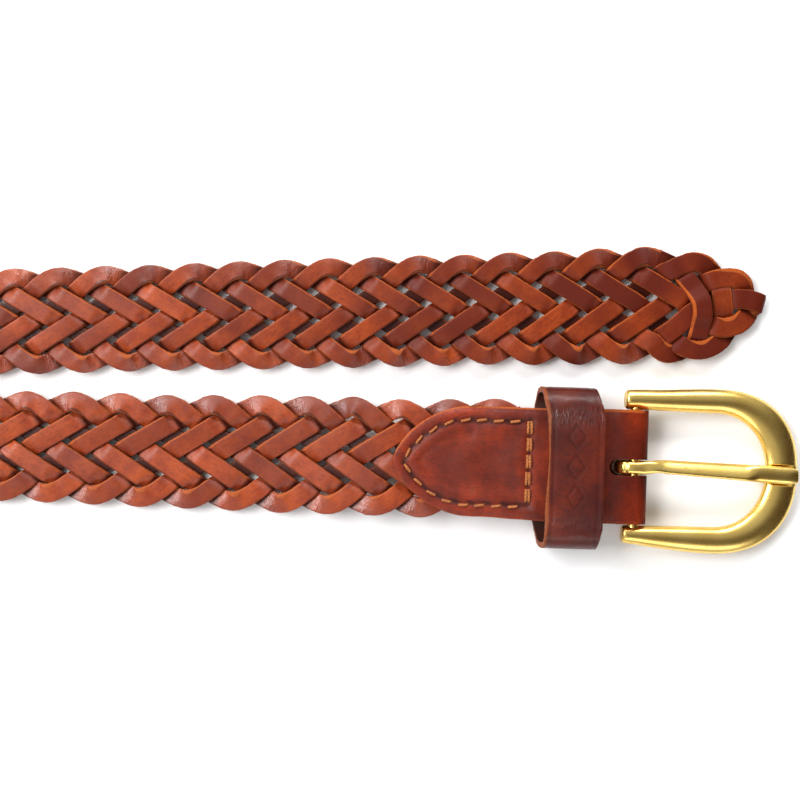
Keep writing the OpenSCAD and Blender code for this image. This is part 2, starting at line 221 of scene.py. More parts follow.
# Each lace's way through the tip, from its regular part on: [mm back from the tip, mm across, level]
TIP_PATHS = [
    [[28.2, 10.8, 1], [25.8, 11.9, 1], [22, 13, 1], [18.5, 12.3, 0.5], [16.2, 10.4, -0.7],
     [15.1, 8.9, -1], [13.6, 5.4, -1], [13.3, 3.9, 0.9], [13.1, 1.5, 1], [12.9, -2, 1],
     [12.7, -3.7, 0.1], [12.6, -5, -1], [12.4, -7.6, -1]],
    [[24, 4.7, -1], [21, 5.7, -1], [18.6, 6.3, -0.9], [16.4, 7, 1], [13.7, 7.6, 1], [10, 7.7, 1],
     [7.9, 7.1, 1], [6.4, 5.7, 0.3], [5.7, 4.2, -0.9], [5.5, 2.4, -1.1]],
    [[33.2, -10.8, -1], [31.4, -9.6, 0.9], [30, -8.7, 1], [27.3, -6.8, 1], [25.2, -5, 1],
     [23.2, -3.3, 1], [21, -1.9, 1], [19.2, -0.8, 0.9], [17.7, 0.1, -0.6], [16.4, 0.7, -1],
     [12.9, 1, -1], [10.7, 1.1, -0.6], [9, 1.2, 1], [5.5, 1.0, 1.1], [3, 0.3, 1.1], [1.4, -0.3, 0.75],
     [0.7, -0.6, 0], [1.4, -1.1, -0.75], [2.9, -1.9, -1.05], [4.2, -2.8, -1.1]],
    [[35, -12, 1.2], [33.4, -13.8, 1.1], [31.4, -15.1, 0.9], [29.5, -15.4, 0.5], [28, -15.1, -0.3],
     [26.5, -14.8, -1], [25, -14.2, -1.1], [23.5, -13.5, -1.1]],
    [[35.2, -3, -1], [33, -5.4, -1], [30.6, -8, -1], [28.9, -10.2, -1], [27.6, -11.9, 0.1],
     [26.4, -12.9, 1], [23, -14.3, 1], [19.2, -14.4, 1], [15.8, -13.1, 0.9], [13.6, -11.6, 0],
     [12.2, -10, -1], [11.2, -8.4, -1.1], [10.5, -7.2, -1.1]],
    [[28, 2.8, 1], [26.2, 1.7, 1], [25.2, 1, 0.9], [23.6, -0.3, -1], [21.4, -2.2, -1],
     [18.8, -5.1, -1], [17.2, -6.3, -0.9], [15.9, -7.1, 0.5], [14.6, -7.5, 1], [12.4, -7.8, 1],
     [8.6, -6.9, 1], [6.4, -5.3, 0.8], [5.1, -3.9, -0.6], [4.4, -2.2, -1.1]],
    [[28.4, 12.2, -1], [26.6, 10.8, -1], [25.3, 9.6, -1], [24.2, 8, 0.8], [23.4, 6.8, 1],
     [21.9, 4.6, 1.3], [20.8, 2.6, 2.1], [20, 0.4, 2.9], [19.7, -1.8, 2.9], [19.7, -3.9, 2.9],
     [19.9, -5.4, 2.3], [20.3, -7.6, 1.1], [20.9, -10.2, 0.7], [21.1, -11.3, -0.8], [21.3, -12.4, -1]],
]
# The raw side painted as lit on each of them: [side, mm wide, mm back, mm of spread]
TIP_RAW = [(1, 0.7, 17, 5), (1, 1.3, 9, 6), (1, 0.1, 5, 5), (1, 1.1, 30, 4), (1, 1.3, 19.5, 4),
           (1, 1.3, 10.5, 4), (-1, 1.0, 20, 6)]
TIP_JOIN = [29.7, 24.7, 36, 37, 37, 29, 31]          # mm back where each one joins its regular part
JOIN_GAP, TIP_STEP = 1.5, 0.6     # mm left open for the join, and mm between two rings in the tip
FOLD_LACE, FOLD_BACK = 2, 4.0     # this lace folds over the tip and comes back underneath
SAMPLE = 0.09                     # crossings between two rings


def spline(points, step):
    """Catmull-Rom curve through the points, sampled about every step mm."""
    p = np.array(points, float)
    p = np.vstack([2 * p[0] - p[1], p, 2 * p[-1] - p[-2]])
    out = []
    for i in range(1, len(p) - 2):
        n = max(2, int(round(np.linalg.norm(p[i + 1] - p[i]) / step)))
        t = np.linspace(0, 1, n, endpoint=False)[:, None]
        a, b, c, d = p[i - 1:i + 3]
        out.append(0.5 * (2 * b + (c - a) * t + (2 * a - 5 * b + 4 * c - d) * t ** 2
                          + (3 * b - a - 3 * c + d) * t ** 3))
    return np.vstack(out + [p[-2][None]])


def wave(n, step, seed):
    """Smooth noise in -1..1 for n rings, changing about every step rings."""
    r = np.random.default_rng(seed)
    knots = r.uniform(-1, 1, int(n / step) + 4)
    x = np.arange(n) / step
    i = x.astype(int)
    f = ease(x - i)
    return knots[i] * (1 - f) + knots[i + 1] * f


def bights_near(u, k):
    """Crossings past the nearest bight, its side, and two shares that vary from bight to bight."""
    past, outer = past_bight(u)
    bight = np.floor((u + STEPS / 2) / STEPS).astype(int)
    bight -= bight.min()
    vary = np.random.default_rng(40 + k).uniform(0.6, 1.25, (bight.max() + 1, 2))
    return past, outer, vary[bight].T


def woven_part(k):
    """The regular part of a lace's ribbon: its left and right edges, and [level, bend, lit, shaded]."""
    u0 = -FIRST_BIGHT / STEP_S - 2 * k
    u1 = (BRAID_LEN - TIP_JOIN[k] - JOIN_GAP - FIRST_BIGHT) / STEP_S - 2 * k
    u = np.linspace(u0, u1, int((u1 - u0) / SAMPLE))
    slope = lace_slope(u)
    s = pitched(FIRST_BIGHT + STEP_S * (u + 2 * k))
    centre = np.stack([s, lace_y(u) * width_at(s) + drift(s)], 1)
    d = units(np.gradient(centre, axis=0))
    side = HALF_LACE * np.stack([-d[:, 1], d[:, 0]], 1)
    # it rolls at each bight: the inner edge is up before it, the outer edge after it
    past, outer, vary = bights_near(u, k)
    inner_up = np.where(outer > 0, 0.85, 1.25) * hump(past, -0.22, 0.36) * vary[0]
    outer_up = 0.45 * hump(past, 0.3, 0.25) * vary[1]
    inside = 1 - hump(past, 0, 0.9)
    tip_run = np.where(s > BRAID_LEN / 2, 1, -1)
    tilt = (outer_up - inner_up) * outer + 0.28 * inside * tip_run
    centre[:, 1] += outer * (HALF_LACE - np.sqrt(HALF_LACE ** 2 - inner_up ** 2))
    reach = SKEW * HALF_LACE * slope
    lift = 0.25 * inner_up
    left = np.column_stack([centre + side, lace_h(u + reach) * LIFT + tilt + lift])
    right = np.column_stack([centre - side, lace_h(u - reach) * LIFT - tilt + lift])
    # mm of raw side face that show: on one side in the light, on the other in shade
    top_bight, low_bight = outer * tip_run > 0, outer * tip_run < 0
    near_tip = 1 - ease((BRAID_LEN - s - 60) / 160)
    falling = -slope * tip_run
    lit = 0.12 + 0.22 * ease(falling) * inside
    lit += top_bight * (0.1 + 0.9 * near_tip) * vary[1] * hump(past, 0.25, 0.55)
    lit += low_bight * 0.95 * vary[0] * hump(past, -0.42, 0.3)
    shaded = 0.1 + 0.3 * ease(-falling) * inside
    shaded += top_bight * 0.75 * vary[0] * hump(past, -0.55, 0.35)
    bend = hump(past, 0.12, 0.42) * vary[1]
    return left, right, np.stack([lace_h(u), bend, lit * tip_run, -shaded * tip_run])


def tip_part(k, start):
    """The same for a lace's way through the tip, from the end of its regular part on."""
    path = np.array(TIP_PATHS[k], float)
    path = np.column_stack([BRAID_LEN - path[:, 0], path[:, 1], path[:, 2] * LIFT])
    line = spline(np.vstack([start, path]), TIP_STEP)[1:]
    t = units(np.gradient(line, axis=0))
    side = units(np.column_stack([-t[:, 1], t[:, 0], 0 * t[:, 0]]))
    if k == FOLD_LACE:
        for i in range(int(np.argmax(line[:, 0] > BRAID_LEN - FOLD_BACK)), len(line)):
            v = side[i - 1] - (side[i - 1] @ t[i]) * t[i]
            side[i] = v / np.linalg.norm(v)
    sign, width, at, spread = TIP_RAW[k]
    flat = np.zeros(len(line))
    lit = sign * width * hump(BRAID_LEN - line[:, 0], at, spread) + 0.02
    shows = np.stack([np.clip(line[:, 2] / LIFT, -1, 1), flat, lit, flat - 0.25])
    return line + side * HALF_LACE, line - side * HALF_LACE, shows


def lace_line(k):
    """Both parts of a lace's ribbon in one, with their join eased."""
    left, right, shows = woven_part(k)
    n = len(left)
    tip_left, tip_right, tip_shows = tip_part(k, (left[-1] + right[-1]) / 2)
    left, right = np.vstack([left, tip_left]), np.vstack([right, tip_right])
    a, b = n - 6, n + 6
    for _ in range(6):
        for row in (left, right):
            row[a:b] = (row[a - 1:b - 1] + 2 * row[a:b] + row[a + 1:b + 1]) / 4
    return left, right, np.hstack([shows, tip_shows])


CORNER_R, BACK_CORNER_R, CROWN = 0.42, 0.25, 0.1


def section():
    """The lace's section: [across, height] with rounded corners and a crowned face, edge and flesh."""
    a, b, r = HALF_LACE, LACE_T / 2, CORNER_R
    low = -b + BACK_CORNER_R
    pts = []
    for cx, cz, start, rise in ((a - r, low, -90, BACK_CORNER_R), (a - r, b - r, 0, r),
                                (r - a, b - r, 90, r), (r - a, low, 180, BACK_CORNER_R)):
        for ang in np.radians(start + 30 * np.arange(4)):
            pts.append((cx + r * math.cos(ang), cz + rise * math.sin(ang)))
        if start == 0:
            pts += [(2 * x * (a - r), b + CROWN * (1 - 4 * x * x)) for x in (0.45, 0.0, -0.45)]
    x, z = np.array(pts).T
    edge = share((b - 0.06 - z) / 0.25) * share((np.abs(x) - a + 0.32) / 0.12)
    return np.array(pts), edge, (z < 0.2 - b) * 1.0


SECTION, SECTION_EDGE, SECTION_FLESH = section()


def add_object(name, data):
    o = bpy.data.objects.new(name, data)
    bpy.context.scene.collection.objects.link(o)
    return o


def mesh_piece(name, verts_mm, faces, materials):
    mesh = bpy.data.meshes.new(name)
    mesh.from_pydata((np.asarray(verts_mm) / 1000).tolist(), [], faces)
    for m in materials:
        mesh.materials.append(m)
    mesh.shade_smooth()
    mesh.update()
    return add_object(name, mesh)


def paint(o, **layers):
    """Stores at each point what the materials read there."""
    for key, values in layers.items():
        values = np.asarray(values, np.float32)
        kind, field = ("FLOAT", "value") if values.ndim == 1 else ("FLOAT_VECTOR", "vector")
        o.data.attributes.new(key, kind, "POINT").data.foreach_set(field, values.ravel())


def rounded(ang, power):
    """A circle's cosine and sine. A power below 1 draws the circle out towards a square."""
    c, s = np.cos(ang), np.sin(ang)
    return np.sign(c) * np.abs(c) ** power, np.sign(s) * np.abs(s) ** power


def tube_faces(rings, sides):
    """The faces of a closed tube whose points come ring by ring."""
    faces = []
    for i in range(rings - 1):
        for j in range(sides):
            k = (j + 1) % sides
            faces.append((i * sides + j, i * sides + k, (i + 1) * sides + k, (i + 1) * sides + j))
    faces.append(tuple(range(sides))[::-1])
    faces.append(tuple(range((rings - 1) * sides, rings * sides)))
    return faces


def add_tube(verts, faces, points, sides):
    """Adds a closed tube, given as its points ring by ring, to a mesh's lists."""
    base = len(verts)
    faces += [tuple(base + i for i in f) for f in tube_faces(len(points) // sides, sides)]
    verts += points.tolist()


def sweep(left, right):
    """Centre, across and up at each ring of a ribbon that is given by its two edges."""
    centre = (left + right) / 2
    along = units(np.gradient(centre, axis=0))
    up = units(np.cross(along, units(left - right)))
    return centre, np.cross(up, along), up


# ------ materials
def new_material(name):
    m = bpy.data.materials.new(name)
    m.use_nodes = True
    return m, m.node_tree, m.node_tree.nodes["Principled BSDF"]


def lin(r, g, b):
    """An sRGB colour in 0..255 as linear RGBA."""
    def f(c):
        c /= 255
        return c / 12.92 if c <= 0.04045 else ((c + 0.055) / 1.055) ** 2.4
    return (f(r), f(g), f(b), 1)


def put(t, node, key, val):
    """Sets a node's input to a number or a colour, or links it to an output."""
    if isinstance(val, (int, float, tuple)):
        node.inputs[key].default_value = val
    else:
        t.links.new(val, node.inputs[key])


def add_node(t, kind, inputs):
    node = t.nodes.new("ShaderNode" + kind)
    for key, val in inputs.items():
        put(t, node, key, val)
    return node


def mix(t, factor, a, b):
    """A mix of two colours: input 0 is the factor, 6 and 7 are the colours, and output 2 is the result."""
    node = t.nodes.new("ShaderNodeMix")
    node.data_type = "RGBA"
    for key, val in ((0, factor), (6, a), (7, b)):
        put(t, node, key, val)
    return node.outputs[2]


def value(t, operation, *args, clamp=False):
    node = add_node(t, "Math", dict(enumerate(args)))
    node.operation, node.use_clamp = operation, clamp
    return node.outputs[0]


def times(t, a, b):
    return value(t, "MULTIPLY", a, b)


def linear(t, x, scale, shift):
    return value(t, "MULTIPLY_ADD", x, scale, shift)


def noise(t, where, scale, detail=3, rough=0.55, stretch=(1, 1, 1)):
    if stretch != (1, 1, 1):
        node = add_node(t, "VectorMath", {0: where, 1: stretch})
        node.operation = "MULTIPLY"
        where = node.outputs[0]
    inputs = {"Scale": scale, "Detail": detail, "Roughness": rough, "Vector": where}
    return add_node(t, "TexNoise", inputs).outputs["Fac"]


def ramp(t, x, lo, hi):
    return add_node(t, "MapRange", {"Value": x, "From Min": lo, "From Max": hi}).outputs[0]


def attribute(t, name, output="Fac"):
    node = t.nodes.new("ShaderNodeAttribute")
    node.attribute_name = name
    return node.outputs[output]


def bump(t, bsdf, height, strength, depth_mm):
    inputs = {"Strength": strength, "Distance": depth_mm / 1000, "Height": height}
    put(t, bsdf, "Normal", add_node(t, "Bump", inputs).outputs[0])


def shade_of(colour, *shares):
    return tuple(c * s for c, s in zip(colour, shares)) + (1,)


def leather(name, main, warm, dark, raw, flesh, gloss, coat):
    """Oiled leather, from what paint() stored: lie is the place on it in mm, and the rest are shares of 1.

    tone is how dark, under how much painted shade it gets, bend how creased, dry how dull, edge and flesh
    how raw.
    lit_side and shaded_side are mm of raw side on a lace, painted as lit or as in shade, on the side that
    their sign says.
    """
    m, t, bsdf = new_material(name)
    where = attribute(t, "lie", "Vector")
    keys = ("tone", "edge", "under", "flesh", "bend", "dry", "lit_side", "shaded_side")
    tone, edge, under, back, bend, dry, lit, shaded = (attribute(t, key) for key in keys)
    cloud = noise(t, where, 0.16, 4, 0.6)
    fine = noise(t, where, 1.3, 5, 0.65, (0.45, 1, 1))
    fibre = noise(t, where, 2.2, 5, 0.7, (1, 1, 3))
    crease = noise(t, where, 1.0, 3, 0.6, (1.5, 0.5, 1))
    pores = add_node(t, "TexVoronoi", {"Scale": 1.9, "Vector": where}).outputs["Distance"]
    across = add_node(t, "SeparateXYZ", {0: where}).outputs["Y"]

    def side_band(width, fray):
        """1 within width mm of the lace's edge, on the side that the width's sign says."""
        side = times(t, across, value(t, "SIGN", width))
        reach = value(t, "ADD", side, value(t, "ABSOLUTE", width))
        reach = linear(t, fibre, fray, reach)
        return ramp(t, reach, HALF_LACE + fray / 2 - 0.1, HALF_LACE + fray / 2 + 0.1)

    # colour: the grain side and its darker tones, painted shade under and in hollows, the flesh side, the
    # raw edges, and raw sides painted lit or in shade
    base = mix(t, ramp(t, cloud, 0.36, 0.66), main, warm)
    base = mix(t, value(t, "MULTIPLY_ADD", tone, 0.5, 0.25, clamp=True), base, dark)
    base = mix(t, times(t, ramp(t, fine, 0.48, 0.74), 0.6), base, dark)
    # painted shade: darker and browner where the under attribute says the piece lies under others or in a
    # hollow
    base = mix(t, times(t, under, 0.82), base, shade_of(dark, 0.22, 0.2, 0.25))
    base = mix(t, times(t, back, 0.85), base, flesh)
    # painted shade on the raw side that faces away from the light
    in_shade = times(t, side_band(shaded, 0.25), 0.8)
    base = mix(t, in_shade, base, shade_of(raw, 0.12, 0.1, 0.1))
    # painted light: the raw side that faces the light, in the raw edges' colour
    edge = value(t, "MAXIMUM", edge, side_band(lit, 0.7))
    frayed = mix(t, ramp(t, fibre, 0.35, 0.7), raw, shade_of(raw, 0.45, 0.4, 0.4))
    seen = linear(t, under, -0.7, 1.0)
    base = mix(t, times(t, edge, seen), base, frayed)
    put(t, bsdf, "Base Color", base)

    # shine: dull where it is raw or dry, and brighter on the creases of a bend
    creased = times(t, bend, ramp(t, crease, 0.35, 0.6))
    rough = linear(t, fine, 0.34, gloss - 0.14)
    rough = linear(t, creased, -0.2, rough)
    raw_rough = times(t, value(t, "MAXIMUM", edge, back), 0.85)
    put(t, bsdf, "Roughness", value(t, "MAXIMUM", rough, raw_rough))
    put(t, bsdf, "Coat Weight", linear(t, dry, -coat, coat))
    put(t, bsdf, "Coat Roughness", 0.3)
    shine = linear(t, dry, -0.24, 0.3)
    put(t, bsdf, "Specular IOR Level", linear(t, bend, 0.45, shine))

    # relief: grain and pores, fibres on the raw edges, creases at the bends
    height = linear(t, fine, 0.6, times(t, pores, 0.35))
    height = linear(t, times(t, fibre, edge), 1.2, height)
    height = linear(t, times(t, crease, bend), 3.2, height)
    bump(t, bsdf, height, 0.5, 0.2)
    return m


def brass_metal():
    """Satin brass: fine brushing that only just shows, and paler where it is worn."""
    m, t, bsdf = new_material("brass")
    where = t.nodes.new("ShaderNodeTexCoord").outputs["Object"]
    cloud = noise(t, where, 90)
    brush = noise(t, where, 1500, 3, 0.6, (0.1, 1, 1))
    base = mix(t, ramp(t, cloud, 0.3, 0.75), lin(246, 214, 124), lin(230, 190, 100))
    put(t, bsdf, "Base Color", base)
    put(t, bsdf, "Metallic", 1.0)
    put(t, bsdf, "Roughness", linear(t, brush, 0.06, 0.25))
    bump(t, bsdf, brush, 0.12, 0.02)
    return m


def thread_material():
    """Waxed linen: fibres, and darker patches where wax and dirt sit."""
    m, t, bsdf = new_material("thread")
    where = t.nodes.new("ShaderNodeTexCoord").outputs["Object"]
    fibre = noise(t, where, 2600, 3, 0.7)
    patch = noise(t, where, 260, 2)
    base = mix(t, ramp(t, fibre, 0.3, 0.7), lin(192, 114, 42), lin(124, 60, 20))
    base = mix(t, times(t, ramp(t, patch, 0.45, 0.75), 0.5), base, lin(126, 62, 24))
    put(t, bsdf, "Base Color", base)
    put(t, bsdf, "Roughness", 0.62)
    put(t, bsdf, "Sheen Weight", 0.1)
    bump(t, bsdf, fibre, 0.5, 0.05)
    return m


LACE = leather("lace_leather", lin(130, 48, 19), lin(158, 66, 23), lin(84, 27, 15), lin(176, 86, 36),
               lin(112, 54, 28), gloss=0.42, coat=0.08)
CHAPE = leather("chape_leather", lin(104, 33, 18), lin(140, 46, 17), lin(60, 18, 13), lin(186, 92, 40),
                lin(104, 52, 28), gloss=0.46, coat=0.06)
KEEPER = leather("keeper_leather", lin(76, 24, 16), lin(100, 33, 16), lin(46, 16, 15), lin(142, 72, 33),
                 lin(60, 30, 20), gloss=0.36, coat=0.3)
BRASS = brass_metal()
THREAD = thread_material()

# ------ the laces
BUCKLE_FLEX = place(118)[:2] / 1000 - np.array([MID_X / 1000, 0])
TIP_FLEX = place(BRAID_LEN - 200)[:2] / 1000 - np.array([MID_X / 1000, 0])


def lace_rings(k, left, right):
    """The lace's points ring by ring, and each ring's centre, in strap coordinates."""
    n = len(left)
    for row in (left, right):
        row[:, 1] += 0.16 * wave(n, 38, 100 + k)
        row[:, 2] += 0.05 * wave(n, 23, 200 + k)
    roll = 0.09 * wave(n, 31, 300 + k)
    left[:, 2] += roll
    right[:, 2] -= roll
    centre, across, up = sweep(left, right)
    # small variations of the cut: its width, which is less in the looser part, and a worn, wavy edge
    back = BRAID_LEN - centre[:, 0]
    wide = 1 + 0.035 * wave(n, 45, 400 + k) - 0.1 * ease((back - 40) / 40) * (1 - ease((back - 200) / 80))
    wear = np.random.default_rng(500 + k).normal(0, 0.045, (n, len(SECTION))) * SECTION_EDGE
    x = SECTION[:, 0] * wide[:, None] + np.sign(SECTION[:, 0]) * wear
    z = SECTION[:, 1] + 0.4 * wear
    return centre[:, None] + across[:, None] * x[:, :, None] + up[:, None] * z[:, :, None], centre


def make_lace(k):
    left, right, (level, bend, lit, shaded) = lace_line(k)
    rings, centre = lace_rings(k, left, right)
    n, m = rings.shape[:2]
    world = strap_point(rings.reshape(-1, 3))
    world[:, 2] = np.maximum(world[:, 2], 0.02)
    run = np.concatenate([[0], np.cumsum(np.linalg.norm(np.diff(centre, axis=0), axis=1))])
    lie = np.stack([np.repeat(run + 700.0 * k, m), np.tile(SECTION[:, 0], n), np.tile(SECTION[:, 1], n)], 1)
    back = BRAID_LEN - centre[:, 0]
    # tone: random patches, plus painted light and shade along the strap: darker inside the chape and towards
    # the tip, lighter between
    tone = (0.8 * wave(n, 30, 600 + k) + 0.4 * wave(n, 9, 700 + k) + 1.05 * (1 - ease((back + 10) / 290))
            - 0.35 * ease((centre[:, 0] - 60) / 100) * (back > 300) + 0.3 * ease((40 - centre[:, 0]) / 30))
    # under: painted shade where a lace dives below its neighbours
    by_ring = {"under": share((-0.25 - level) / 0.65), "tone": tone, "bend": bend,
               "dry": 1 - ease((back + 40) / 280), "lit_side": lit, "shaded_side": shaded}
    cut = int(np.argmin(np.abs(centre[:, 0] - BRAID_LEN / 2)))
    halves = []
    for part, lo, hi in (("a", 0, cut + 1), ("b", cut, n)):
        points = slice(lo * m, hi * m)
        o = mesh_piece(f"lace_{k + 1}_{part}", world[points], tube_faces(hi - lo, m), [LACE])
        paint(o, lie=lie[points], edge=np.tile(SECTION_EDGE, hi - lo), flesh=np.tile(SECTION_FLESH, hi - lo))
        paint(o, **{key: np.repeat(values[lo:hi], m) for key, values in by_ring.items()})
        halves.append(o)
    first, second = halves
    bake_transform(first)
    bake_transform(second)
    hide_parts(f"lace_{k + 1}_buckle_end", f"lace_{k + 1}")
    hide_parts(f"lace_{k + 1}", f"lace_{k + 1}_tip")


for k in range(7):
    make_lace(k)


# ------ helpers in the bar's frame
BAR_AT = np.array([-MID_X, BAR_Y, BAR_Z])


def at_bar(p):
    return np.asarray(p, float) + BAR_AT


NOSE_X = 51.4
FRAME_LEAN = math.asin((BAR_Z - FRAME_T / 2) / NOSE_X)


def at_frame(p):
    p = np.asarray(p, float)
    c, s = math.cos(FRAME_LEAN), math.sin(FRAME_LEAN)
    return at_bar(np.stack([c * p[:, 0] + s * p[:, 2], p[:, 1], -s * p[:, 0] + c * p[:, 2]], 1))


def finish_mesh(o, thickness, bevel, angle=40, segments=3):
    """Gives a piece rounded edges, and a sheet also its thickness, with its rim in the second material."""
    bpy.context.view_layer.objects.active = o
    if thickness:
        mod = o.modifiers.new("thick", "SOLIDIFY")
        mod.thickness, mod.offset, mod.use_even_offset = thickness / 1000, 0, True
        mod.material_offset_rim = 1
    mod = o.modifiers.new("round", "BEVEL")
    mod.width, mod.segments, mod.limit_method = bevel / 1000, segments, "ANGLE"
    mod.angle_limit = math.radians(angle)
    dg = bpy.context.evaluated_depsgraph_get()
    mesh = bpy.data.meshes.new_from_object(o.evaluated_get(dg))
    o.modifiers.clear()
    o.data = mesh
    mesh.shade_smooth()


def at_points(o, field):
    """The coordinates, in m, or the normals of a piece's points."""
    out = np.zeros(len(o.data.vertices) * 3, np.float32)
    o.data.vertices.foreach_get(field, out)
    return out.reshape(-1, 3).astype(float)


def set_coords(o, co):
    o.data.vertices.foreach_set("co", (co / 1000).astype(np.float32).ravel())
    o.data.update()


def rim_weight(o):
    """1 at points that only rim faces use, 0.5 where they meet the surface."""
    total, rim = np.zeros((2, len(o.data.vertices)))
    for p in o.data.polygons:
        for v in p.vertices:
            total[v] += 1
            rim[v] += p.material_index == 1
    return rim / np.maximum(total, 1)


# ------ chape
SLOT_W, SLOT_END, SLOT_BELOW, TONGUE_L = 5.0, -8.3, 1.7, 25.0
TONGUE_R = (TONGUE_L ** 2 + CHAPE_W ** 2 / 4) / CHAPE_W
CHAPE_HALF, STRAIGHT = CHAPE_W / 2, CHAPE_LEN - TONGUE_L
FOLD = CHAPE_GAP / 2
MID_R = FOLD + CHAPE_T / 2
STITCH_INSET, STITCH_PITCH, STITCH_Y = 4.3, 5.1, CHAPE_HALF - 4.3
CROSS_X, CROSS_Y, CROSS_PITCH = -33.0, 0.8, 5.2
HALF_TURN = math.acos((TONGUE_R - CHAPE_HALF) / (TONGUE_R - 3.5))
SLANT = 0.13                      # how far each stitch turns off its line


def face_wave(x, y):
    """The slow unevenness of the chape's face, which its stitches follow."""
    return 0.12 * np.sin(x * 0.31 + y * 0.17)


def on_stitch_arc(a, side):
    """The stitch line round the tongue comes a little nearer to the edge at its point."""
    r = TONGUE_R - STITCH_INSET + 0.8 * np.asarray(a) / HALF_TURN
    return -STRAIGHT - r * np.sin(a), side * (r * np.cos(a) + CHAPE_HALF - TONGUE_R)


def tongue_stitches():
    """[x, y, direction] of each stitch round the tongue."""
    out = []
    for side in (-1, 1):
        out += [(2.4 - STRAIGHT + i * STITCH_PITCH, side * STITCH_Y, SLANT) for i in range(3)]
        for a in HALF_TURN * (np.arange(5) + 0.5) / 5:
            x, y = on_stitch_arc(a, side)
            out.append((float(x), float(y), side * a + SLANT))
    return out


def stitch_line():
    pts = []
    for side in (-1, 1):
        pts += [(x, side * STITCH_Y) for x in np.linspace(CROSS_X, -STRAIGHT, 40)]
        pts += list(zip(*on_stitch_arc(np.linspace(0, HALF_TURN, 50), side)))
    return pts


def stitch_holes():
    holes = [(CROSS_X, CROSS_Y + CROSS_PITCH * i) for i in np.arange(-2.5, 3)]
    for x, y, a in tongue_stitches():
        holes += [(x + r * math.cos(a), y + r * math.sin(a)) for r in (-2.4, -1.75, 1.75, 2.4)]
    return holes


def nearest(points, targets):
    """Distance from each point to the nearest of the targets, seen from above."""
    return np.sqrt(((points[:, None, :2] - np.array(targets)[None]) ** 2).sum(2)).min(1)


def chape_sheet():
    """The folded sheet at mid-thickness: rows run along its upper layer, round the bar and back below."""
    r = SLOT_W / 2
    outer = CHAPE_HALF - (CHAPE_HALF - r) * (1 - np.sin(np.linspace(0, math.pi / 2, 22)))
    inner = np.linspace(-r, r, 11)
    ys = np.concatenate([-outer[::-1], inner[1:-1], outer])
    nose = 1.3                    # mm of rounding at the tongue's point
    blunt = np.sqrt(ys ** 2 + nose ** 2) - nose * (1 - np.abs(ys) / CHAPE_HALF) * 0.35
    from_arc = np.minimum(blunt, CHAPE_HALF) + TONGUE_R - CHAPE_HALF
    start = -STRAIGHT - np.sqrt(np.maximum(TONGUE_R ** 2 - from_arc ** 2, 0))
    slot = SLOT_END + r - np.where(np.abs(ys) < r, np.sqrt(np.maximum(r * r - ys ** 2, 0)), 0)
    in_slot = np.abs(ys) < r - 1e-6
    rows_a, rows_b, rows_f = 105, 9, 18          # up to the slot, beside it, and round the fold
    total = 2 * (rows_a + rows_b) + rows_f
    verts, index = [], {}

    def add(row, col, p):
        index[row, col] = len(verts)
        verts.append(p)

    for below, z in ((0, MID_R), (1, -MID_R)):
        for col, y in enumerate(ys):
            end = slot[col] + SLOT_BELOW * below           # the slot is shorter in the lower layer
            xs = [start[col] + (end - start[col]) * i / rows_a for i in range(rows_a + 1)]
            if not in_slot[col]:
                xs += [end * (1 - i / rows_b) for i in range(1, rows_b + 1)]
            for row, x in enumerate(xs):
                add(total - row if below else row, col, (x, y, z))
    for col, y in enumerate(ys):
        for i in range(1, rows_f) if not in_slot[col] else ():
            a = math.pi * i / rows_f
            add(rows_a + rows_b + i, col, (MID_R * math.sin(a), y, MID_R * math.cos(a)))
    faces = []
    for row in range(total):
        beside_slot = rows_a <= row < total - rows_a
        for col in range(len(ys) - 1):
            corners = [(row + 1, col), (row + 1, col + 1), (row, col + 1), (row, col)]
            open_here = beside_slot and in_slot[col: col + 2].any()
            if all(c in index for c in corners) and not open_here:
                faces.append([index[c] for c in corners])
    return verts, faces


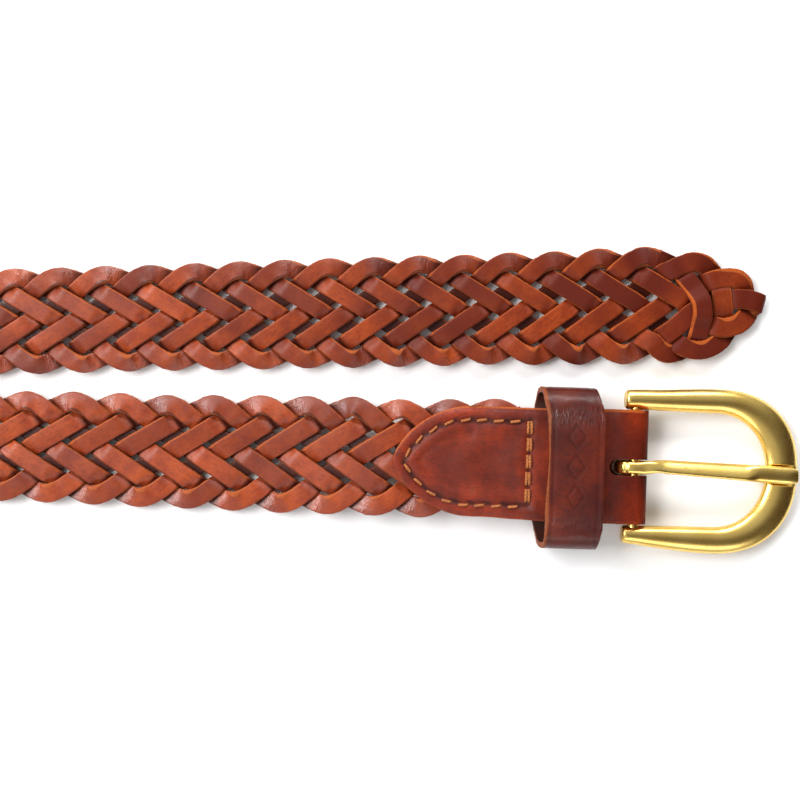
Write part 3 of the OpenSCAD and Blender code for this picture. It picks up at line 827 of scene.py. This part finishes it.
def make_chape():
    verts, faces = chape_sheet()
    o = mesh_piece("chape", at_bar(verts), faces, [CHAPE, CHAPE])
    finish_mesh(o, CHAPE_T, 0.42)
    co, no = at_points(o, "co") * 1000, at_points(o, "normal")
    local = co - BAR_AT
    x, y, z = local.T
    outward = np.where(x > 0, (x * no[:, 0] + z * no[:, 2]) / MID_R, np.sign(z) * no[:, 2])
    facing = share(outward * 1.6)
    d = nearest(local, stitch_line())
    cross = np.where(np.abs(y) < 13.5, np.abs(x - CROSS_X), 99)

    # shape: pressed in along the stitches, plump beside them, wavy over the braid, lower at the edges
    groove = 0.32 * hump(d, 0, 0.85) + 0.42 * hump(cross, 0, 1.3)
    over_braid = 0.16 * np.sin(math.pi * (BRAID_START - x) / STEP_S + 0.35 * np.abs(y)) * (x < BRAID_START)
    co += no * (facing * (0.22 * hump(d, 2.4, 1.3) - groove + over_braid) * (x < 2))[:, None]
    drop = 0.5 * ease((np.abs(y) - CHAPE_HALF + 3) / 3) * (x < -6)
    drop += 0.35 * np.exp(-np.abs(d - STITCH_INSET) / 1.2) * (x < -STRAIGHT)
    co[:, 2] += face_wave(x, y) * (z > 0) * (x < -8) - np.sign(z) * drop * (x < 2)
    co[:, 1] += 0.45 * ease(y / 16) * ease((x + 16) / 9)
    co[:, 1] += 0.8 * ease(-y / 16) * ease((-24 - x) / 22)     # cut a little narrower there
    set_coords(o, co)

    # colour: painted shade in the holes, along the stitches, beyond the cross stitches and under the keeper,
    # and raw along the edges
    under = 1.15 * hump(nearest(local, stitch_holes()), 0, 0.62) + 0.35 * hump(d, 0, 0.9)
    under += 0.275 * hump(x, CROSS_X - 4.5, 2.0) * (np.abs(y) < 14)
    under += 0.105 * ease((x - CROSS_X) / 5) * (x < -9)
    from_arc = np.hypot(x + STRAIGHT, np.abs(y) + TONGUE_R - CHAPE_HALF)
    inset = np.where(x > -STRAIGHT, CHAPE_HALF - np.abs(y), TONGUE_R - from_arc)
    raw = ease((0.6 + 0.4 * ease((x + 16) / 8) - inset) / 0.3)
    # painted light: the raw edge is stronger on the side that faces the top light
    raw *= (0.15 + 0.75 * ease((y + 2) / 8)) * (x < 2.5)
    paint(o, under=share(under) * facing, dry=0.25 + 0.75 * ease((x + 26) / 14),
          edge=np.maximum(share((rim_weight(o) - 0.35) * 3), raw), flesh=share(-outward * 2),
          tone=0.7 * np.sin(x * 0.11 + 1) * np.cos(y * 0.16) + 0.5 * ease((x + 12) / 6),
          bend=0.5 * hump(x, -7, 3), lie=local + [9000, 0, 0])
    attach(o, "buckle_end")
    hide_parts("chape")


make_chape()


# ------ thread
PLIES, PLY_SIDES, STITCH_RINGS = 3, 7, 21


def stitch_plies(x, y, z, turn, length, radius, seed, up):
    """The twisted plies of one stitch, which rises out of one hole and dives into the next."""
    r = np.random.default_rng(seed)
    t = np.linspace(-1, 1, STITCH_RINGS)
    end = np.clip(np.abs(t) - 0.8, 0, 0.2)
    rise = radius * (1 - np.abs(t) ** 4) - 0.75 * (end / 0.2) ** 1.5
    bow = r.uniform(-0.12, 0.12) * (1 - t * t)
    ply_r = (radius * 0.62 * (1 - 0.3 * np.abs(t) ** 3))[:, None]
    around = 2 * math.pi * np.arange(PLY_SIDES) / PLY_SIDES
    c, s = math.cos(turn), math.sin(turn)
    out = []
    for ply in range(PLIES):
        a = t * 1.5 * math.pi + ply * 2 * math.pi / PLIES + r.uniform(0, 0.5)
        py = up * ((bow + np.cos(a) * radius * 0.48)[:, None] + ply_r * np.cos(around))
        pz = up * ((rise + np.sin(a) * radius * 0.48)[:, None] + ply_r * np.sin(around))
        px = (t * length / 2 * (1 - 0.03 * end))[:, None] + 0 * py
        out.append(np.stack([x + c * px - s * py, y + s * px + c * py, z + pz], 2).reshape(-1, 3))
    return out


def make_stitching(name, stitches, length, radius, seed):
    verts, faces = [], []
    for i, (x, y, a) in enumerate(stitches):
        for up in (1, -1):
            above = FOLD + CHAPE_T - 0.12 + face_wave(x, y)
            z = above if up == 1 else 0.5 - FOLD - CHAPE_T      # the lower ones clear the keeper
            for ply in stitch_plies(x, y, z, a, length, radius, seed + i * 2 + up, up):
                add_tube(verts, faces, ply, PLY_SIDES)
    o = mesh_piece(name, at_bar(verts), faces, [THREAD])
    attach(o, "buckle_end")
    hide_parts(name)


make_stitching("tongue_stitching", tongue_stitches(), 3.4, 0.42, 1000)
pairs = [(CROSS_X + e * 0.45 + 0.1 * math.sin(7 * i), i * CROSS_PITCH + CROSS_Y, math.pi / 2 + e * 0.02)
         for i in range(-2, 3) for e in (-1, 1)]
make_stitching("cross_stitching", pairs, 4.3, 0.44, 2000)


# ------ filler between the chape's layers
FILLER_L, FILLER_W, FILLER_H = 24.0, 31.0, CHAPE_GAP - 0.3


def make_filler():
    """Two layers of leather with rounded corners, a little apart."""
    n = 48
    a = 2 * math.pi * np.arange(n) / n
    along, across = rounded(a, 0.16)
    x = BRAID_START + 0.5 + FILLER_L / 2 * (1 + along)
    verts, faces = [], []
    for layer in (0, 1):
        y = across * FILLER_W / 2 + 0.12 * np.sin(5 * a + layer) + 0.3 * (layer - 0.5)
        z = (layer - 1) * FILLER_H / 2 + 0.05
        rings = [np.column_stack([x, y, np.full(n, level)]) for level in (z, z + FILLER_H / 2 - 0.1)]
        add_tube(verts, faces, np.vstack(rings), n)
    o = mesh_piece("chape_filler", at_bar(verts), faces, [CHAPE])
    finish_mesh(o, None, 0.3, 60, 2)
    local = at_points(o, "co") * 1000 - BAR_AT
    past_side = np.abs(local[:, 1]) - FILLER_W / 2
    past_end = np.abs(local[:, 0] - BRAID_START - 0.5 - FILLER_L / 2) - FILLER_L / 2
    # painted shade all over, as it lies between the chape's layers
    paint(o, lie=local + [9500, 0, 0], edge=share(np.maximum(past_side + 0.9, past_end + 0.8) * 3),
          under=np.full(len(local), 0.35))
    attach(o, "buckle_end")
    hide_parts("chape_filler")


make_filler()


# ------ keeper
BAND_HALF, BAND_TOP, BAND_R = (KEEPER_W - KEEPER_T) / 2, KEEPER_H - KEEPER_T, 6.0 - KEEPER_T / 2
BAND_AT_X, BAND_AT_Y, BAND_AT_Z = KEEPER_X - MID_X, -0.7, 0.05
SEAM = 0.12                       # half of the seam's gap
BORDER_INSET, LOZENGE_Y, LOZENGE_HALF = 1.7, (-9.0, 0.0, 9.0), (2.6, 3.6)


def keeper_lean(y, z):
    """The worn keeper leans: its middle bows out further than its corners, and its ends slant."""
    rise = ease((z - 3) / (KEEPER_H - 5))
    inward = ease((BAND_HALF - np.abs(y)) / 9)
    return 3.1 * rise * (0.3 + 0.7 * inward) - 3.4 + 1.8 * ease((-y - 14) / 10) + 0.7 * ease((y - 16) / 8)


def keeper_sheet():
    """The band at mid-thickness, from the seam in its lower side round to the seam again."""
    w, h, r = BAND_HALF, BAND_TOP, BAND_R
    corner = np.linspace(0, math.pi / 2, 12)[1:]
    side = np.linspace(0, 1, 8)[1:]
    right = [(SEAM, 0.0)]
    right += [(y, 0) for y in np.linspace(1.5, w - r, 18)]
    right += [(w - r + r * math.sin(a), r - r * math.cos(a)) for a in corner]
    right += [(w + 0.25 * math.sin(math.pi * f), r + (h - 2 * r) * f) for f in side]
    right += [(w - r + r * math.cos(a), h - r + r * math.sin(a)) for a in corner]
    right += [(y, h) for y in np.linspace(w - r, 0, 36)[1:]]
    right = np.array(right)
    loop = np.vstack([right, right[::-1][1:] * np.array([-1, 1])]) + np.array([0, KEEPER_T / 2])
    across = np.concatenate([np.arange(4) * 0.3, np.linspace(1.2, KEEPER_BAND, 33)])
    verts = []
    for y, z in loop:
        above = z > KEEPER_H / 2
        dip = 0.35 * (1 - (y / w) ** 2) * above
        pull = 0.7 * ease((abs(y) - w + r + 1) / (r + 1))
        for x in across:
            f = x / KEEPER_BAND - 0.5
            ripple = 0.35 * math.sin(y * 0.19 + 1) * (z > 8) * (0.5 - f)
            cup = 0.25 * math.cos(math.pi * f) * above
            x = BAND_AT_X + x - pull * max(0, 2 * f) + keeper_lean(y, z) + ripple
            verts.append((x, BAR_Y + BAND_AT_Y + y, z - dip + cup + BAND_AT_Z))
    n, m = len(loop), len(across)
    faces = [(i * m + j, (i + 1) * m + j, (i + 1) * m + j + 1, i * m + j + 1)
             for i in range(n - 1) for j in range(m - 1)]
    return verts, faces


def make_keeper():
    verts, faces = keeper_sheet()
    o = mesh_piece("keeper", verts, faces, [KEEPER, KEEPER])
    finish_mesh(o, KEEPER_T, 0.38)
    co, no = at_points(o, "co") * 1000, at_points(o, "normal")
    local = co - [BAND_AT_X, BAR_Y, 0]
    x, y, z = local.T
    rim = rim_weight(o)
    at_end = np.abs(y) > BAND_HALF - BAND_R
    outward = np.where(at_end, np.sign(y) * no[:, 1] * 0.7, 0) + np.sign(z - KEEPER_H / 2) * no[:, 2]
    facing = share(outward * 1.5)

    # shape: tooled border lines, a short row of lozenges, and creases where it bends
    x_band = x - keeper_lean(y, z)
    line = hump(x_band, BORDER_INSET, 0.28) + hump(x_band, KEEPER_BAND - BORDER_INSET, 0.28)
    motif = np.zeros(len(x))
    for at in LOZENGE_Y:
        d = np.abs(x_band - KEEPER_BAND / 2) / LOZENGE_HALF[0] + np.abs(y - at) / LOZENGE_HALF[1]
        motif = np.maximum(motif, hump(d, 1, 0.12))
    motif *= z > KEEPER_H - 3.2
    creases = 0.07 * np.sin(y * 1.7 + 2 * np.sin(x_band * 0.5)) * hump(np.abs(y), BAND_HALF - BAND_R, 3.0)
    co -= no * ((0.16 * line + 0.2 * motif - creases) * facing)[:, None]
    co[:, 0] += np.random.default_rng(61).normal(0, 0.05, len(co)) * rim
    set_coords(o, co)

    # painted shade in the tooled lines and lozenges; raw along the rim and one edge
    raw = ease((0.75 - x_band) / 0.3) * facing
    paint(o, edge=np.maximum(share((rim - 0.3) * 3), raw), dry=np.full(len(x), 0.45),
          flesh=share(-outward * 2), under=share(0.35 * line + 0.55 * motif) * facing,
          tone=0.6 * np.sin(y * 0.13 + 0.4) * np.cos(x_band * 0.2),
          bend=hump(y, 15, 3.5) + 0.5 * hump(y, -17, 3), lie=local + [9900, 0, 0])
    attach(o, "keeper")
    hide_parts("keeper")


make_keeper()


def tube(path, radius, sides):
    """Rings of a round wire along a path of points, mm."""
    p = np.asarray(path, float)
    d = units(np.gradient(p, axis=0))
    a = units(np.cross(d, np.array([1.0, 0.02, 0.01])))
    b = np.cross(d, a)
    ang = np.linspace(0, 2 * math.pi, sides, endpoint=False)[:, None]
    r = np.broadcast_to(radius, len(p))[:, None, None]
    return (p[:, None] + r * (a[:, None] * np.cos(ang) + b[:, None] * np.sin(ang))).reshape(-1, 3)


def make_staple():
    """Two wire staples under the keeper, beside its seam, with their legs turned up."""
    wire_r, sides, reach = 0.4, 10, 3
    bridge = [(-2.7, 0.42), (-2, 0.4), (0, 0.4), (2, 0.4), (2.7, 0.42)]
    path = [(-reach, 1.1), (-reach, 0.62), *bridge, (reach, 0.62), (reach, 1.1)]
    x = BAND_AT_X + KEEPER_BAND / 2
    verts, faces = [], []
    for y0 in (-4, 4):
        line = spline([(x, BAR_Y + y + y0, z) for y, z in path], 0.2)
        add_tube(verts, faces, tube(line, wire_r, sides), sides)
    o = mesh_piece("keeper_staple", verts, faces, [BRASS])
    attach(o, "keeper")
    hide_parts("keeper_staple")


make_staple()

# ------ buckle
ARM_START, ARM_W0 = -3.3, 46.6
ARM_TAPER = (FRAME_W - ARM_W0) / 2
INNER_X, INNER_CX, OUTER_CX = 41.6, 25.0, 25.0
INNER_ROUND, OUTER_ROUND, FRAME_ROUND, PRONG_ROUND = 2.1, 2.35, 2.1, 2.8    # superellipse powers
SEAT_W, PRONG_T, PRONG_Z, PRONG_W, CURL_W = 6.2, 2.7, 3.3, 5.0, 3.9
SEAT_Z = PRONG_Z - PRONG_T / 2 - 0.35


def prong_y(x):
    """The prong's middle: it leans a little to one side."""
    return 0.05 + 0.6 * ease((x - 1) / 6) - 0.043 * np.maximum(0, x - 8)


def frame_curves():
    """The frame's inner and outer outline from arm end to arm end, seen from above."""
    f = np.concatenate([[0, 0.004, 0.012, 0.025, 0.045, 0.07], np.linspace(0.1, 1, 34)])[:-1]
    turn = np.concatenate([np.arange(90, 12, -1.5), np.arange(12, -12, -0.5), np.arange(-12, -90.1, -1.5)])
    # the hand-finished frame is a little fuller on its right side
    sides = ((INNER_CX, INNER_X, FRAME_IN_W / 2, 0, INNER_ROUND, 0, (0.4, -0.15)),
             (OUTER_CX, NOSE_X, FRAME_W / 2, ARM_TAPER, OUTER_ROUND, 0.55, (0.15, 0.85)))
    out = []
    for cx, nose, half_w, taper, round_power, arm_end, bows in sides:
        arm = np.column_stack([ARM_START + (cx - ARM_START) * f, half_w - taper * (1 - f) ** 1.5])
        c, s = rounded(np.radians(turn), 2 / round_power)
        bend = np.column_stack([cx + (nose - cx) * np.abs(c), half_w * s])
        curve = np.vstack([arm, bend, arm[::-1] * np.array([1, -1])])
        x, left = curve[:, 0].copy(), curve[:, 1] > 0
        curve[:, 1] += arm_end * (1 - ease((x - ARM_START) / 14)) * left
        curve[:, 1] -= np.where(left, *bows) * np.sin(math.pi * share(x / NOSE_X))
        out.append(curve)
    return out


def make_frame():
    """One swept ring of a rounded, flattened section, from arm to arm."""
    inner, outer = frame_curves()
    n, sides = len(inner), 40
    across, up = rounded(np.linspace(0, 2 * math.pi, sides, endpoint=False), 2 / FRAME_ROUND)
    up = np.where(up < 0, -np.abs(up) ** 0.8, up)
    mid, half = (inner + outer) / 2, (outer - inner) / 2
    in_arm = (np.abs(mid[:, 1]) > 15) & (mid[:, 0] < 10)
    from_end = np.where(in_arm, mid[:, 0] - ARM_START, 99)
    tuck = (1 - 0.16 * (1 - share(from_end / 0.9)) ** 2)[:, None]
    pts = np.zeros((n, sides, 3))
    pts[:, :, :2] = mid[:, None] + half[:, None] * (across * tuck)[:, :, None]
    pts[:, :, 2] = FRAME_T / 2 * up * tuck
    v = pts.reshape(-1, 3)
    x, y, z = v.T
    depth = 1 - ease((np.abs(y - prong_y(x)) - SEAT_W / 2 + 0.35) / 0.5)
    v[:, 2] -= np.where((x > 35) & (z > SEAT_Z), (z - SEAT_Z) * depth, 0)
    o = mesh_piece("buckle_frame", at_frame(v), [f[::-1] for f in tube_faces(n, sides)], [BRASS])
    finish_mesh(o, None, 0.25, 50, 2)
    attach(o, "buckle")
    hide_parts("buckle_frame")


make_frame()


def make_bar():
    """A round bar, a little thinner where the chape wraps it, with eased ends in the arms."""
    half, sides, wrapped_r = (ARM_W0 + 0.4) / 2, 28, 1.72
    end = [(half, 1.1), (half - 0.25, 1.6), (half - 0.8, BAR_R), (17.6, BAR_R), (17.2, wrapped_r)]
    stations = [(-y, r) for y, r in end] + [(y, wrapped_r) for y in np.linspace(-16, 16, 20)] + end[::-1]
    y, r = np.array(stations).T
    path = np.column_stack([0 * y, y, 0 * y])
    o = mesh_piece("buckle_bar", at_frame(tube(path, r, sides)), tube_faces(len(y), sides), [BRASS])
    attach(o, "buckle")
    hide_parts("buckle_bar")


make_bar()


def prong_line():
    """The prong from the side, from inside its curl to its end: [x, z], width and thickness."""
    inside, outside = BAR_R + 0.07, PRONG_Z + PRONG_T / 2
    mid_r, t = (inside + outside) / 2, outside - inside
    line, width, thick = [], [], []
    for a in np.radians(np.linspace(395, 90, 72)):
        x, z = mid_r * math.cos(a), mid_r * math.sin(a)
        if x < 0:
            x = -1.45 * mid_r * (-x / mid_r) ** (0.75 if z > 0 else 1)
        line.append((x, z))
        width.append(CURL_W - 0.1)
        thick.append(t - 0.5 * hump(x, -3.0, 0.35) * (z > 0))
    for x in np.linspace(0.6, NOSE_X - 0.8, 70):
        line.append((x, PRONG_Z + 0.5 * hump(x, 5.2, 2.4) - 0.1 * ease((x - 10) / 20)))
        neck = 0.35 * ease((x - 2.5) / 3) * (1 - ease((x - 6) / 4))
        wider = (PRONG_W - CURL_W) * max(0, min(1, (x - 8) / 34))
        width.append(CURL_W + 0.3 * ease(x / 3) - neck + wider)
        thick.append(t + (PRONG_T - 0.1 - t) * ease(x / 5))
    n_end = 5
    for i in range(n_end):
        width[-1 - i] *= 1 - 0.2 * (1 - i / n_end) ** 2
        thick[-1 - i] *= 1 - 0.3 * (1 - i / n_end) ** 2
    return np.array(line), np.array(width)[:, None], np.array(thick)[:, None]


def make_prong():
    line, width, thick = prong_line()
    d = units(np.gradient(line, axis=0))
    n, sides = len(line), 24
    across, out = rounded(np.linspace(0, 2 * math.pi, sides, endpoint=False), 2 / PRONG_ROUND)
    x = line[:, :1]
    rolled = 0.4 * ease((x - 3) / 5) * (1 - ease((x - 34) / 4))
    v = np.stack([x - d[:, 1:] * out * thick / 2, across * width / 2 + prong_y(x),
                  line[:, 1:] + d[:, :1] * out * thick / 2 - rolled * across * width / 2], 2)
    faces = [f[::-1] for f in tube_faces(n, sides)]
    o = mesh_piece("prong", at_frame(v.reshape(-1, 3)), faces, [BRASS])
    finish_mesh(o, None, 0.3, 55, 2)
    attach(o, "prong")
    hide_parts("prong")


make_prong()

# ------ floor, light, camera
scene = bpy.context.scene
FLOOR, tree, bsdf = new_material("floor")
put(tree, bsdf, "Base Color", (0.9, 0.9, 0.9, 1))
put(tree, bsdf, "Roughness", 0.9)
bpy.ops.mesh.primitive_plane_add(size=6, location=(0, 0, -0.0004))
floor = bpy.context.object
floor.name = "floor"
floor.data.materials.append(FLOOR)

world = bpy.data.worlds.new("world")
scene.world = world
world.use_nodes = True
tree = world.node_tree
coordinates = tree.nodes.new("ShaderNodeTexCoord")
sky = add_node(tree, "SeparateXYZ", {0: coordinates.outputs["Generated"]}).outputs

# a pale room with a warm dark patch on the side that the buckle points to
outward = ramp(tree, sky["X"], 0.35, 0.75)
narrow, off = linear(tree, outward, -1.3, 2.4), linear(tree, outward, -0.45, 0.55)
beside = linear(tree, sky["Y"], narrow, off)
beside = value(tree, "SUBTRACT", 1.0, times(tree, beside, beside), clamp=True)
shade = ramp(tree, times(tree, ramp(tree, sky["X"], 0.06, 0.4), beside), 0.05, 0.85)
background = tree.nodes["Background"]
put(tree, background, "Color", mix(tree, shade, (0.92, 0.92, 0.93, 1), (0.09, 0.055, 0.03, 1)))
put(tree, background, "Strength", 0.55)


def area(name, location, target, size, power):
    data = bpy.data.lights.new(name, "AREA")
    data.shape, data.size, data.size_y = "RECTANGLE", size[0], size[1]
    data.energy = power
    o = add_object(name, data)
    o.location = location
    o.rotation_euler = (Vector(target) - Vector(location)).to_track_quat("-Z", "Y").to_euler()


area("window", (-0.75, 0.25, 0.95), (0.05, 0, 0), (0.9, 0.7), 20)
area("top_light", (0.15, 1.15, 0.75), (0.12, 0, 0), (1.2, 0.35), 17)
area("fill", (0.35, -1.1, 0.9), (0.12, 0, 0), (1.4, 0.5), 6)

cam = add_object("camera", bpy.data.cameras.new("camera"))
cam.data.lens, cam.data.sensor_width, cam.data.clip_start = 58, 36, 0.01
cam.location = (0.1465, -0.0026, 0.404)
cam.rotation_euler = (0, 0, math.radians(1.9))
scene.camera = cam
scene.view_settings.view_transform = "Standard"
